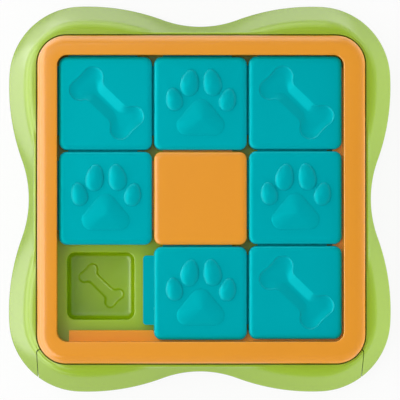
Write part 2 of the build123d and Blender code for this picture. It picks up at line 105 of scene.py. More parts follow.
# ---- The frame
FRAME_CORNER = 20.0
RIM_WIDTH = 14.45
RIM_ROLL = 7.0
RIM_LIP = 0.8
OPENING_CORNER = 7.0
SKIRT = 3.0
CHANNEL_WALL = 2.4
CHANNEL_ROOF = 3.6
CHANNEL_SLOPE = 2.5

# ---- The drawer front
FRONT_LAP = 8.5
SEAM = 0.5
SEAM_CORNER = 2.0
WALL = 2.6
PULL_WIDTH = 58.0
PULL_RISE = 8.0
PULL_CORNER = 6.0
TAB_LINES = (-70.0, 0.0, 70.0)
TAB_WIDTH = 16.0
TAB_THICKNESS = 2.4
TAB_LEVEL = 20.0
TAB_HOOK = 1.6
TAB_GAP = 0.2

# ---- The tiles
TILE_CORNER = 5.5
TILE_EDGE_RUN = 3.7
TILE_EDGE_DROP = 2.2
CORNER_SHARE = 0.6  # of an inset, taken off a corner's radius
FLAT_INSET, FLAT_CORNER_INSET = 0.3, 0.2  # of the flat face, from the rolled edge
GROOVE_DEPTH = 8.0
CORE_INSET = 2.5
LIP_WALL = 1.6
CAP_ROOF = 4.0

# ---- The bones
BONE = dict(length=38.7, end=12.6, knob=7.4, shaft=7.5, neck=5.0, notch=30.0)
BONE_DEPTH = 2.9
BONE_BANK, BONE_SHAFT_BANK = 6.4, 6.7
BONE_ENDS = (0.7, 0.33)  # the ends' share of the depth, and the share of that in a steep edge
BONE_SLOPES = (0.9, 0.1)  # even part of the slope, in the shaft and in the ends
BONE_TURN = -44.0
BONE_SKEW = -1.5
BONE_SHIFT = (0.8, 0.1)
EDGE_SHARE = 0.16
RIM_SPREAD = 0.04  # of the flat rim round a bone
CUP_BONE = dict(length=25.0, end=8.0, knob=4.2, shaft=4.4, neck=3.0, notch=20.0)
CUP_BONE_DEPTH = 1.2
CUP_BONE_BANK, CUP_BONE_SHAFT_BANK = 2.2, 2.4

# ---- The paws
PAD = ((0.0, -4.6, 7.4), (-9.5, -15.0, 6.8), (9.5, -15.0, 6.8))  # circles, as x, y and radius
PAD_PEAK = (1.5, -10.5)
PAD_HEIGHT = 3.0
PAD_POWER = 1.3
PAD_FOOT = 0.3
PAD_SPREAD, PAD_RIM = 0.03, 0.02  # of the flat rim round a pad, and its rise
INNER_TOE = (6.3, 9.3, 0.16)  # half width, half length and narrowing
OUTER_TOE = (5.8, 8.0, 0.14)
TOE_HEIGHT = 2.9
TOE_POWER = 1.65
TOES = (  # shape, x, y and lean
    (OUTER_TOE, -18.1, 2.8, 12.0),
    (INNER_TOE, -7.4, 14.0, -10.0),
    (INNER_TOE, 7.9, 14.3, 10.0),
    (OUTER_TOE, 18.6, 2.4, -12.0),
)

# ---- The drawer's tray
CUP_HALF = 23.0
CUP_CORNER = 5.5
CUP_WALL = 2.2
CUP_LIP = 1.0
CUP_FOOT = 5.0
CUP_DEPTH = 20.0
CUP_FLOOR = 2.5
CUP_SHIFT = (-3.5, 4.7)
TRAY_DECK = 2.2
TRAY_SKIRT = 2.0
TRAY_CORNER, TRAY_LEAST_CORNER = 1.0, 0.2
TRAY_BEVEL = 0.4
SKID = 3.0
SKID_WIDTH = 3.0
SKID_ROOT = 1.0
RAIL_LINE = 68.7
STOP_WIDTH = 20.0
STOP_THICKNESS = 4.0
STOP_SETBACK = 9.0

opening_half = frame_half - RIM_WIDTH
bay_half = opening_half + BAY_LAP
front_line = -(frame_half - FRONT_LAP)
belly_corner = deck_top - SIDE_RUN * math.tan(SIDE_TILT) - ROLL_RADIUS * (1 - math.cos(SIDE_TILT))


# ---- Mesh tools


def encloses(plan, spot):
    """Whether a spot lies inside a closed plan."""
    crossings = 0
    for a, b in zip(plan, plan[1:] + plan[:1]):
        if (a.y > spot.y) != (b.y > spot.y):
            crossings += spot.x < a.x + (spot.y - a.y) * (b.x - a.x) / (b.y - a.y)
    return crossings % 2 == 1


class Skin:
    """A closed skin: rings of points, bands between them and flat fills."""

    def __init__(self):
        self.points, self.faces = [], []

    def ring(self, plan, level):
        start = len(self.points)
        self.points += [(x, y, level) for x, y in plan]
        return list(range(start, len(self.points)))

    def loop(self, plan, levels):
        """A ring whose points have levels of their own."""
        start = len(self.points)
        self.points += [(float(x), float(y), float(z)) for (x, y), z in zip(plan, levels)]
        return list(range(start, len(self.points)))

    def point(self, x, y, z):
        self.points.append((x, y, z))
        return len(self.points) - 1

    def band(self, one, two):
        count = len(one)
        for i in range(count):
            j = (i + 1) % count
            self.faces.append((one[i], one[j], two[j], two[i]))

    def stack(self, stages):
        """Rings one after another, joined by bands. Returns the first and the last."""
        rings = [self.ring(plan, level) for plan, level in stages]
        for one, two in zip(rings, rings[1:]):
            self.band(one, two)
        return rings[0], rings[-1]

    def fan(self, ring, apex):
        count = len(ring)
        for i in range(count):
            self.faces.append((ring[i], ring[(i + 1) % count], apex))

    def fill(self, ring, holes=()):
        """A flat face inside a ring, with holes."""
        ids, edges, spans = [], [], []
        for loop in (ring, *holes):
            start = len(ids)
            edges += [(start + k, start + (k + 1) % len(loop)) for k in range(len(loop))]
            ids += loop
            spans.append((start, len(ids)))
        flat = [Vector(self.points[i][:2]) for i in ids]
        # A face that stands square to X is filled in Y and Z
        if max(v.x for v in flat) - min(v.x for v in flat) < 1e-6:
            flat = [Vector(self.points[i][1:]) for i in ids]
        _, _, faces, kept, _, _ = delaunay_2d_cdt(flat, edges, [], 1, 1e-6)
        for face in faces:
            corners = [kept[i][0] for i in face]
            middle = (flat[corners[0]] + flat[corners[1]] + flat[corners[2]]) / 3
            if not any(encloses(flat[start:end], middle) for start, end in spans[1:]):
                self.faces.append(tuple(ids[i] for i in corners))

    def object(self, name):
        mesh = bpy.data.meshes.new(name)
        mesh.from_pydata([(x * MM, y * MM, z * MM) for x, y, z in self.points], [], self.faces)
        made = bpy.data.objects.new(name, mesh)
        bpy.context.scene.collection.objects.link(made)
        work = bmesh.new()
        work.from_mesh(mesh)
        bmesh.ops.recalc_face_normals(work, faces=work.faces)
        work.to_mesh(mesh)
        work.free()
        return made


def soften(made, degrees=32.0):
    """Smooth shading, with the edges that turn by more than an angle kept sharp."""
    work = bmesh.new()
    work.from_mesh(made.data)
    bmesh.ops.remove_doubles(work, verts=work.verts, dist=1e-7)
    for face in work.faces:
        face.smooth = True
    limit = math.radians(degrees)
    for edge in work.edges:
        edge.smooth = len(edge.link_faces) == 2 and edge.calc_face_angle(0) < limit
    work.to_mesh(made.data)
    work.free()


def carve(made, operation, *tools):
    for tool in tools:
        step = made.modifiers.new("carve", "BOOLEAN")
        step.operation, step.object, step.solver = operation, tool, "EXACT"
    seen = made.evaluated_get(bpy.context.evaluated_depsgraph_get())
    mesh = bpy.data.meshes.new_from_object(seen)
    made.modifiers.clear()
    made.data = mesh
    for tool in tools:
        bpy.data.objects.remove(tool)
    return made


def rounded(half_x, half_y, corner, steps=16, x=0.0, y=0.0):
    """A rectangle with round corners, anticlockwise."""
    plan = []
    for turn in range(4):
        side_x = half_x - corner if turn in (0, 3) else corner - half_x
        side_y = half_y - corner if turn in (0, 1) else corner - half_y
        for k in range(steps + 1):
            angle = math.radians(90 * turn + 90 * k / steps)
            plan.append((x + side_x + corner * math.cos(angle), y + side_y + corner * math.sin(angle)))
    return plan


def square(half, corner, **where):
    return rounded(half, half, corner, **where)


def prism(plan, bottom, top, name="tool"):
    skin = Skin()
    under, over = skin.stack([(plan, bottom), (plan, top)])
    skin.fill(under)
    skin.fill(over)
    return skin.object(name)


def slab(low_corner, high_corner, name="tool"):
    (x0, y0, z0), (x1, y1, z1) = low_corner, high_corner
    return prism([(x0, y0), (x1, y0), (x1, y1), (x0, y1)], z0, z1, name)


def shift(plan, x, y, turn=0.0):
    c, s = math.cos(math.radians(turn)), math.sin(math.radians(turn))
    return [(x + c * px - s * py, y + s * px + c * py) for px, py in plan]


# ---- Base


def wavy_outline():
    """The base's outline at its widest, and the outward direction at each point."""
    along = frame_half - LOBE_BACKSET
    sides = []
    for waist_margin, lobe_margin in zip(WAIST_MARGIN, LOBE_MARGIN):
        waist, tip = frame_half + waist_margin, frame_half + lobe_margin
        gap = ((tip - waist) ** 2 + along**2) / (2 * (tip - waist))
        waist_centre = Vector((waist + gap - LOBE_SIDE_RADIUS, 0))
        side_centre = Vector((tip - LOBE_SIDE_RADIUS, along))
        way = (side_centre - waist_centre).normalized()
        sides.append((waist_centre, side_centre, waist_centre + way * (waist_centre.x - waist)))

    def over(v):
        return Vector((v.y, v.x))

    (waist_centre, side_centre, side_start), (_, end_centre, end_start) = sides
    end_centre, end_start, end_waist = over(end_centre), over(end_start), over(sides[1][0])
    chord = side_centre - end_centre
    across = Vector((chord.y, -chord.x)).normalized()
    middle = (side_centre + end_centre) / 2
    diagonal = (frame_half + CORNER_MARGIN) * math.sqrt(2)
    spare = LOBE_SIDE_RADIUS - diagonal + middle.dot(across)
    corner_centre = middle + across * ((chord.length / 2) ** 2 - spare**2) / (2 * spare)
    side_end = side_centre + (corner_centre - side_centre).normalized() * LOBE_SIDE_RADIUS
    end_end = end_centre + (corner_centre - end_centre).normalized() * LOBE_SIDE_RADIUS
    side_waist = Vector((waist_centre.x - (waist_centre - side_start).length, 0))
    end_middle = Vector((0, end_waist.y - (end_waist - end_start).length))
    quarter = (
        (waist_centre, side_waist, side_start, -1),
        (side_centre, side_start, side_end, 1),
        (corner_centre, side_end, end_end, 1),
        (end_centre, end_end, end_start, 1),
        (end_waist, end_start, end_middle, -1),
    )
    points, outward = [], []
    for centre, start, end, way in quarter:
        a, b = start - centre, end - centre
        first = math.atan2(a.y, a.x)
        swing = (math.atan2(b.y, b.x) - first + math.pi) % (2 * math.pi) - math.pi
        count = max(2, math.ceil(abs(swing) * a.length / STEP))
        for k in range(count):
            angle = first + swing * k / count
            ray = Vector((math.cos(angle), math.sin(angle)))
            points.append(centre + ray * a.length)
            outward.append(ray * way)
    points.append(Vector((0, end_middle.y)))
    outward.append(Vector((0, 1)))

    def mirrored(vectors, sx, sy):
        return [Vector((v.x * sx, v.y * sy)) for v in vectors]

    found = []
    for row in (points, outward):
        left = mirrored(row[::-1], -1, 1)[1:]
        under = mirrored(row, -1, -1)[1:]
        right = mirrored(row[::-1], 1, -1)[1:-1]
        found.append(np.array([tuple(v) for v in row + left + under + right]))
    return found


OUTLINE, OUTWARD = wavy_outline()


def inset_outline(inset):
    return [tuple(p) for p in OUTLINE - OUTWARD * inset]


def collar_gap(plan):
    """How far points lie outside the collar round the frame."""
    corner = FRAME_CORNER + REVEAL + COLLAR
    flat = frame_half + REVEAL + COLLAR - corner
    away = np.abs(plan - (frame_x, frame_y)) - flat
    outer = np.hypot(*np.maximum(away, 0).T)
    return outer + np.minimum(away.max(axis=1), 0) - corner


def inset_to_collar(gap):
    """The inset at which each point of the outline comes to a distance from the collar."""
    near, far = np.zeros(len(OUTLINE)), np.full(len(OUTLINE), FARTHEST_INSET)
    for _ in range(30):
        middle = (near + far) / 2
        outside = collar_gap(OUTLINE - OUTWARD * middle[:, None]) > gap
        near, far = np.where(outside, middle, near), np.where(outside, far, middle)
    return near


def side_level(inset):
    """The height of the leaning side and of its roll into the deck."""
    inset = np.asarray(inset)
    lean = math.sin(SIDE_TILT) - (inset - SIDE_RUN) / ROLL_RADIUS
    roll = deck_top - ROLL_RADIUS * (1 - np.sqrt(1 - np.clip(lean, 0, math.sin(SIDE_TILT)) ** 2))
    return np.where(inset < SIDE_RUN, belly_corner + inset * math.tan(SIDE_TILT), roll)


def belly_stages():
    """Insets and levels from the underside up to the belly, and round it."""
    stages = []
    belly_level = belly_corner - BELLY_ROLL * (
        math.cos(SIDE_TILT) - (1 - math.sin(SIDE_TILT)) * math.tan(SIDE_TILT)
    )
    ones = np.ones(len(OUTLINE))
    for k in range(TUCK_STEPS, 0, -1):
        level = belly_level - (belly_level - base_under) * k / TUCK_STEPS
        stages.append((ones * TUCK * (k / TUCK_STEPS) ** 2, ones * level))
    for k in range(BELLY_STEPS):
        angle = (math.pi / 2 - SIDE_TILT) * k / BELLY_STEPS
        level = belly_level + BELLY_ROLL * math.sin(angle)
        stages.append((ones * BELLY_ROLL * (1 - math.cos(angle)), ones * level))
    return stages


def side_stages():
    """Insets and levels from the belly up the leaning side to the collar, and over it."""
    stages = []
    wall = inset_to_collar(0.0)
    inner = inset_to_collar(-COLLAR - COLLAR_LAP)
    start = BELLY_ROLL * (1 - math.sin(SIDE_TILT))
    collar_top = deck_top - COLLAR_DROP
    rise = np.maximum(collar_top - side_level(wall), 0)
    foot = np.minimum(COLLAR_FOOT, COLLAR_SHARE * rise)
    roll = np.minimum(COLLAR_ROLL, COLLAR_SHARE * rise)
    for k in range(SIDE_STEPS + 1):
        inset = start + (wall - foot - start) * k / SIDE_STEPS
        stages.append((inset, side_level(inset)))
    turn_in, turn_out = side_level(wall), side_level(wall) + foot
    for k in range(1, FOOT_STEPS + 1):
        t = k / FOOT_STEPS
        inset = (1 - t) ** 2 * (wall - foot) + (1 - (1 - t) ** 2) * wall
        level = (1 - t) ** 2 * side_level(wall - foot) + 2 * t * (1 - t) * turn_in + t**2 * turn_out
        stages.append((inset, level))
    for k in range(ROLL_STEPS + 1):
        angle = math.pi / 2 * k / ROLL_STEPS
        level = np.maximum(collar_top, side_level(wall)) - roll * (1 - math.sin(angle))
        stages.append((wall + roll * (1 - math.cos(angle)), level))
    for k in range(1, ROLL_STEPS + 1):
        inset = wall + roll + (inner - wall - roll) * k / ROLL_STEPS
        stages.append((inset, np.maximum(side_level(inset), collar_top)))
    return stages


def base_form(name):
    """The wavy body: tucked in below, leaning in above, with the collar that stands round the frame."""
    skin = Skin()
    stages = belly_stages() + side_stages()
    rings = [skin.loop(OUTLINE - OUTWARD * inset[:, None], level) for inset, level in stages]
    for one, two in zip(rings, rings[1:]):
        skin.band(one, two)
    skin.fill(rings[0])
    skin.fan(rings[-1], skin.point(0, 0, deck_top))
    return skin.object(name)


def recess(bottom):
    """A tool for the hollow that the frame sits in."""
    half = frame_half + REVEAL
    plan = square(half, FRAME_CORNER + REVEAL, steps=32, x=frame_x, y=frame_y)
    return prism(plan, bottom, frame_top + OVER_TOP)


def front_zone(half, back):
    """The drawer front's share of the base, with rounded corners at the back."""
    plan = rounded(half, BEYOND, SEAM_CORNER, steps=8, y=back - BEYOND)
    return prism(plan, -BEYOND, BEYOND)


def make_base():
    return carve(
        base_form("base_moulding"),
        "DIFFERENCE",
        recess(seat),
        slab((-bay_half, -BEYOND - frame_half, -BEYOND), (bay_half, bay_half, seat + CLEAR)),
        front_zone(frame_half, front_line + SEAM),
        prism(inset_outline(PLATE_INSET), base_under - CLEAR, base_under + PLATE),
    )


def make_front():
    body = base_form("drawer_face")
    carve(body, "INTERSECT", front_zone(frame_half - SEAM, front_line))
    pull = rounded(PULL_WIDTH / 2, PULL_RISE, PULL_CORNER, steps=10)
    skin = Skin()
    near, far = skin.stack([(pull, 0), (pull, BEYOND)])
    skin.fill(near)
    skin.fill(far)
    skin.points = [(x, -frame_half - z, base_under + y) for x, y, z in skin.points]
    half_slot = TAB_WIDTH / 2 + TAB_GAP
    slot_top = TAB_LEVEL + TAB_THICKNESS + TAB_HOOK + TAB_GAP
    slots = [
        slab(
            (line - half_slot, front_line - WALL, TAB_LEVEL - TAB_GAP),
            (line + half_slot, front_line + CLEAR, slot_top),
        )
        for line in TAB_LINES
    ]
    return carve(
        body,
        "DIFFERENCE",
        recess(tray_top),
        prism(inset_outline(PLATE_INSET), -CLEAR, base_under + PLATE + RUNNING_GAP),
        skin.object("tool"),
        *slots,
    )


# ---- Frame


def make_bezel():
    """The raised rim: a soft roll outside, a small lip inside, and a channel below."""
    roll_steps, lip_steps = 16, 6

    def at(inset, level):
        plan = square(frame_half - inset, FRAME_CORNER - inset, steps=24, x=frame_x, y=frame_y)
        return plan, level

    def inside(outset, level):
        return square(opening_half + outset, OPENING_CORNER + outset, steps=24), level

    stages = [at(0, seat)]
    for k in range(roll_steps + 1):
        angle = math.radians(90 * k / roll_steps)
        stages.append(at(RIM_ROLL * (1 - math.cos(angle)), frame_top - RIM_ROLL * (1 - math.sin(angle))))
    for k in range(lip_steps + 1):
        angle = math.radians(90 * k / lip_steps)
        stages.append(inside(RIM_LIP * (1 - math.sin(angle)), frame_top - RIM_LIP * (1 - math.cos(angle))))
    stages += [
        inside(0, cap_bottom),
        inside(CHANNEL_WALL, cap_bottom),
        inside(CHANNEL_WALL, frame_top - CHANNEL_ROOF),
        at(SKIRT, frame_top - CHANNEL_ROOF - CHANNEL_SLOPE),
        at(SKIRT, seat),
    ]
    skin = Skin()
    first, last = skin.stack(stages)
    skin.band(last, first)
    return skin.object("frame_rim")


# ---- Tiles


def bone_ring(length, end, knob, shaft, neck, notch, steps=14):
    """A bone's outline along X, in arcs that touch: necks, knobs and end notches."""
    middle = Vector((length / 2, 0))
    spin = Matrix.Rotation(math.radians(90 + BONE_SKEW), 2)
    knob_way = spin @ Vector((end / 2, 0))
    high_knob, low_knob = middle + knob_way, middle - knob_way
    out = math.sqrt((knob + notch) ** 2 - (end / 2) ** 2)
    notch_centre = middle + Vector((knob_way.y, -knob_way.x)).normalized() * out

    def neck_centre(at, side):
        rise = shaft + neck - side * at.y
        return Vector((at.x - math.sqrt((knob + neck) ** 2 - rise**2), side * (shaft + neck)))

    def sweep(centre, start, end_point, clockwise):
        a, b = start - centre, end_point - centre
        first = math.atan2(a.y, a.x)
        swing = (math.atan2(b.y, b.x) - first) % (2 * math.pi)
        if clockwise:
            swing -= 2 * math.pi
        angles = [first + swing * k / steps for k in range(steps)]
        return [centre + Vector((math.cos(angle), math.sin(angle))) * a.length for angle in angles]

    high_neck, low_neck = neck_centre(high_knob, 1), neck_centre(low_knob, -1)

    def touch(at, hollow):
        return at + (hollow - at).normalized() * knob

    half = []
    half += sweep(low_neck, Vector((low_neck.x, -shaft)), touch(low_knob, low_neck), True)
    half += sweep(low_knob, touch(low_knob, low_neck), touch(low_knob, notch_centre), False)
    half += sweep(notch_centre, touch(low_knob, notch_centre), touch(high_knob, notch_centre), True)
    half += sweep(high_knob, touch(high_knob, notch_centre), touch(high_knob, high_neck), False)
    half += sweep(high_neck, touch(high_knob, high_neck), Vector((high_neck.x, shaft)), True)
    start, stop = Vector((high_neck.x, shaft)), Vector((-low_neck.x, shaft))
    half += [start.lerp(stop, k / steps) for k in range(steps)]
    return [tuple(v) for v in half] + [(-v.x, -v.y) for v in half]


def dish(skin, rim, floor, surface, depths, turns, edges, steps=16):
    """A steep edge, then a slope that is even as far as its turn and eases out. Returns its rim."""
    rim, floor = np.array(rim), np.array(floor)
    depths, turns, edges = np.array(depths), np.array(turns), np.array(edges)
    slope = 2 / (1 + turns)
    top = skin.ring([tuple(p) for p in rim + (rim - floor) * RIM_SPREAD], surface)
    last = top
    for k in range(steps + 1):
        share = (k / steps) ** 1.5
        fall = np.where(share > turns, 1 - slope * (1 - share) ** 2 / (2 * (1 - turns)), slope * share)
        edge = 1 - (1 - min(share / EDGE_SHARE, 1)) ** 2
        levels = surface - depths * (edges * edge + (1 - edges) * fall)
        now = skin.loop(rim + (floor - rim) * share, levels)
        skin.band(last, now)
        last = now
    skin.fill(last)
    return top


def bone_dish(skin, sizes, x, y, surface, depth, bank, shaft_bank, ends=(1.0, 0.0), turns=(0.3, 0.3)):
    """A sunk bone. Its ends have their own share of the depth, and a share of that in a steep edge."""
    floor = dict(sizes, knob=sizes["knob"] - bank, shaft=sizes["shaft"] - shaft_bank)
    floor["neck"] = sizes["neck"] + bank
    floor["notch"] = sizes["notch"] + bank
    plans = [shift(bone_ring(**s), x, y, BONE_TURN) for s in (sizes, floor)]
    part = len(plans[0]) // 12  # an outline is two halves of six equal parts
    ease = np.linspace(0, 1, part)
    half = np.array([*ease, *[1] * (3 * part), *ease[::-1], *[0] * part])
    at_end = np.concatenate([half, half])

    def along(shaft, knob):
        return shaft + (knob - shaft) * at_end

    return dish(skin, *plans, surface, along(depth, depth * ends[0]), along(*turns), along(0, ends[1]))


def hull_ring(circles, count=96):
    """The outline round some circles, with its points spread evenly along it."""
    directions = 720
    rough = []
    for k in range(directions):
        angle = 2 * math.pi * k / directions
        ray = Vector((math.cos(angle), math.sin(angle)))
        x, y, radius = max(circles, key=lambda c: c[0] * ray.x + c[1] * ray.y + c[2])
        rough.append((x + radius * ray.x, y + radius * ray.y))
    closed = np.array(rough + rough[:1])
    lengths = np.concatenate([[0], np.cumsum(np.hypot(*np.diff(closed, axis=0).T))])
    wanted = np.linspace(0, lengths[-1], count, endpoint=False)
    return list(zip(*(np.interp(wanted, lengths, closed[:, axis]) for axis in (0, 1))))


def dome(skin, rim, centre, surface, foot, height, power, steps=14):
    """A raised pad: a short steep foot, then a soft dome. Returns the rim."""
    plan = np.array(rim)
    base = skin.ring([tuple(p) for p in plan + (plan - centre) * PAD_SPREAD], surface)
    last = skin.ring(rim, surface + PAD_RIM)
    skin.band(base, last)
    for k in range(1, steps):
        share = math.cos(math.pi / 2 * k / steps)
        level = surface + foot + (height - foot) * (1 - share**power) ** (1 / power)
        ring = skin.ring([tuple(p) for p in centre + (plan - centre) * share], level)
        skin.band(last, ring)
        last = ring
    skin.fan(last, skin.point(*centre, surface + height))
    return base


def egg(half_x, half_y, narrow, count=72):
    """An egg's outline, wider below."""
    turns = [2 * math.pi * k / count for k in range(count)]
    return [(half_x * math.cos(t) * (1 - narrow * math.sin(t)), half_y * math.sin(t)) for t in turns]


def relief(skin, kind):
    """The bone or the paw on a tile. Returns the holes that it leaves in the tile's face."""
    if kind == "bone":
        banks = BONE_DEPTH, BONE_BANK, BONE_SHAFT_BANK
        return [bone_dish(skin, BONE, *BONE_SHIFT, tile_top, *banks, BONE_ENDS, BONE_SLOPES)]
    if kind == "plain":
        return []
    holes = [dome(skin, hull_ring(PAD), PAD_PEAK, tile_top, PAD_FOOT, PAD_HEIGHT, PAD_POWER)]
    for shape, x, y, lean in TOES:
        plan = shift(egg(*shape), x, y, lean)
        holes.append(dome(skin, plan, (x, y), tile_top, PAD_FOOT, TOE_HEIGHT, TOE_POWER))
    return holes


def cap_mesh(kind):
    """A tile's top half with its relief, round the origin, at its real height."""
    edge_steps = 10
    skin = Skin()
    stages = [(square(tile_half, TILE_CORNER), cap_bottom)]
    for k in range(edge_steps + 1):
        angle = math.radians(90 * k / edge_steps)
        inset = TILE_EDGE_RUN * (1 - math.cos(angle))
        plan = square(tile_half - inset, TILE_CORNER - CORNER_SHARE * inset)
        stages.append((plan, tile_top - TILE_EDGE_DROP * (1 - math.sin(angle))))
    flat_corner = TILE_CORNER - CORNER_SHARE * TILE_EDGE_RUN - FLAT_CORNER_INSET
    stages.append((square(tile_half - TILE_EDGE_RUN - FLAT_INSET, flat_corner), tile_top))
    under, over = skin.stack(stages)
    skin.fill(over, relief(skin, kind))
    low_side, high_side = CORE_INSET - tile_half, tile_half - GROOVE_DEPTH - CORE_INSET

    def lip(wall, level):
        a, b = low_side + wall, high_side - wall
        return [(a, -b), (b, -b), (b, -a), (a, -a)], level

    lip_root, lip_end = skin.stack([lip(0, cap_bottom), lip(0, lip_under)])
    lip_mouth, roof = skin.stack([lip(LIP_WALL, lip_under), lip(LIP_WALL, tile_top - CAP_ROOF)])
    skin.fill(under, [lip_root])
    skin.band(lip_end, lip_mouth)
    skin.fill(roof)
    made = skin.object("cap_" + kind)
    mesh = made.data
    soften(made, 17.0)
    bpy.data.objects.remove(made)
    return mesh


# ---- Drawer tray


def cup(skin, x, y):
    """One cup with a bone in its floor. Returns its mouth, and its outside's ring under the deck."""
    lip_steps, foot_steps = 6, 8
    cup_bottom = tray_top - CUP_DEPTH
    stages = []
    for k in range(lip_steps + 1):
        angle = math.radians(90 * k / lip_steps)
        grow = CUP_LIP * (1 - math.sin(angle))
        plan = square(CUP_HALF + grow, CUP_CORNER + grow, x=x, y=y)
        stages.append((plan, tray_top - CUP_LIP * (1 - math.cos(angle))))
    for k in range(foot_steps + 1):
        angle = math.radians(90 * k / foot_steps)
        shrink = CUP_FOOT * (1 - math.cos(angle))
        plan = square(CUP_HALF - shrink, CUP_CORNER - CORNER_SHARE * shrink, x=x, y=y)
        stages.append((plan, cup_bottom + CUP_FOOT * (1 - math.sin(angle))))
    mouth, floor = skin.stack(stages)
    banks = CUP_BONE_DEPTH, CUP_BONE_BANK, CUP_BONE_SHAFT_BANK
    skin.fill(floor, [bone_dish(skin, CUP_BONE, x, y, cup_bottom, *banks)])
    plan = square(CUP_HALF + CUP_WALL, CUP_CORNER + CUP_WALL, x=x, y=y)
    root, underside = skin.stack([(plan, tray_top - TRAY_DECK), (plan, cup_bottom - CUP_FLOOR)])
    skin.fill(underside)
    return mouth, root


def hook(line, near):
    """The hooked tab that holds the drawer front."""
    back = front_line - WALL - TAB_GAP
    front = back - TAB_HOOK
    profile = (
        (near, TAB_LEVEL),
        (front, TAB_LEVEL),
        (front, TAB_LEVEL + TAB_THICKNESS + TAB_HOOK),
        (back, TAB_LEVEL + TAB_THICKNESS + TAB_HOOK),
        (back, TAB_LEVEL + TAB_THICKNESS),
        (near, TAB_LEVEL + TAB_THICKNESS),
    )
    tab = Skin()
    sides = [[tab.point(x, y, z) for y, z in profile] for x in (line - TAB_WIDTH / 2, line + TAB_WIDTH / 2)]
    tab.band(*sides)
    for side in sides:
        tab.fill(side)
    return tab.object("tool")


def make_tray():
    """The skirted deck with nine cups hanging from it, and what it slides, stops and hooks on with."""
    skin = Skin()
    cup_under = tray_top - CUP_DEPTH - CUP_FLOOR
    skid_under = cup_under - SKID
    middle = (tray_half + front_line) / 2
    half_y = (tray_half - front_line) / 2

    def rim(inset):
        corner = max(TRAY_CORNER - inset, TRAY_LEAST_CORNER)
        return rounded(tray_half - inset, half_y - inset, corner, steps=4, y=middle)

    steps = (-pitch, 0, pitch)
    mouths, roots = zip(*(cup(skin, x + CUP_SHIFT[0], y + CUP_SHIFT[1]) for y in steps for x in steps))
    outer_top, inner_top = skin.stack(
        [
            (rim(TRAY_BEVEL), tray_top),
            (rim(0), tray_top - TRAY_BEVEL),
            (rim(0), cup_under),
            (rim(TRAY_SKIRT), cup_under),
            (rim(TRAY_SKIRT), tray_top - TRAY_DECK),
        ]
    )
    skin.fill(outer_top, mouths)
    skin.fill(inner_top, roots)
    tray = skin.object("cup_tray")
    near, far = front_line + TRAY_SKIRT / 2, tray_half - TRAY_SKIRT / 2
    root_top = cup_under + SKID_ROOT
    extras = []
    for line in (-RAIL_LINE, RAIL_LINE):
        left, right = line - SKID_WIDTH / 2, line + SKID_WIDTH / 2
        extras.append(slab((left, near, skid_under), (right, far, root_top)))
    stop_front = tray_half - STOP_SETBACK - STOP_THICKNESS
    stop_back = stop_front + STOP_THICKNESS
    extras.append(slab((-STOP_WIDTH / 2, stop_front, stop_under), (STOP_WIDTH / 2, stop_back, root_top)))
    extras += [hook(line, near) for line in TAB_LINES]
    return carve(tray, "UNION", *extras)


# ---- Materials


def node(tree, kind, **values):
    made = tree.nodes.new(kind)
    for name, value in values.items():
        if name in made.inputs:
            made.inputs[name].default_value = value
        else:
            setattr(made, name, value)
    return made


def srgb(red, green, blue):
    def linear(c):
        c /= 255
        return c / 12.92 if c <= 0.04045 else ((c + 0.055) / 1.055) ** 2.4

    return (linear(red), linear(green), linear(blue), 1.0)


def moulded(name, colour, deep, roughness, grain=0.02, tint=(1, 1, 1)):
    """Glossy moulded plastic: faint clouding, uneven gloss and a very fine grain."""
    made = bpy.data.materials.new(name)
    made.use_nodes = True
    tree = made.node_tree
    shader = tree.nodes["Principled BSDF"]
    shader.inputs["IOR"].default_value = 1.49
    shader.inputs["Specular Tint"].default_value = (*tint, 1)
    place = tree.nodes.new("ShaderNodeTexCoord")
    clouds = node(tree, "ShaderNodeTexNoise", Scale=18.0, Detail=3.0)
    fine = node(tree, "ShaderNodeTexNoise", Scale=1400.0, Detail=2.0)
    wave = node(tree, "ShaderNodeTexNoise", Scale=60.0, Detail=1.0)
    for texture in (clouds, fine, wave):
        tree.links.new(place.outputs["Object"], texture.inputs["Vector"])
    mix = node(tree, "ShaderNodeMix", data_type="RGBA")
    mix.inputs["A"].default_value = colour
    mix.inputs["B"].default_value = deep
    tree.links.new(clouds.outputs["Fac"], mix.inputs["Factor"])
    tree.links.new(mix.outputs["Result"], shader.inputs["Base Color"])
    gloss = tree.nodes.new("ShaderNodeMapRange")
    gloss.inputs["To Min"].default_value = roughness - 0.02
    gloss.inputs["To Max"].default_value = roughness + 0.025
    tree.links.new(wave.outputs["Fac"], gloss.inputs["Value"])
    tree.links.new(gloss.outputs["Result"], shader.inputs["Roughness"])
    bump = tree.nodes.new("ShaderNodeBump")
    bump.inputs["Strength"].default_value = grain
    bump.inputs["Distance"].default_value = 0.0002
    tree.links.new(fine.outputs["Fac"], bump.inputs["Height"])
    tree.links.new(bump.outputs["Normal"], shader.inputs["Normal"])
    return made


lime = moulded("lime_plastic", srgb(156, 192, 4), srgb(148, 185, 0), 0.23)
orange = moulded("orange_plastic", srgb(240, 156, 8), srgb(234, 149, 4), 0.21)
teal = moulded("teal_plastic", srgb(0, 170, 180), srgb(0, 162, 173), 0.26, tint=(0.0, 1.0, 1.0))
rubber = moulded("foot_rubber", srgb(52, 52, 50), srgb(44, 44, 44), 0.7, 0.3)
steel = moulded("plated_steel", srgb(196, 198, 200), srgb(184, 186, 190), 0.3)
steel.node_tree.nodes["Principled BSDF"].inputs["Metallic"].default_value = 1.0


def dress(made, material):
    """One material on a piece."""
    made.data.materials.clear()
    made.data.materials.append(material)


def place_piece(made, material, slot, body, *nodes):
    dress(made, material)
    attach(made, body)
    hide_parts(*nodes)


# ---- Pieces

base = make_base()
soften(base)
place_piece(base, lime, "lime", "base", "base_shell")

front = make_front()
soften(front)
place_piece(front, lime, "lime", "drawer", "drawer_front")

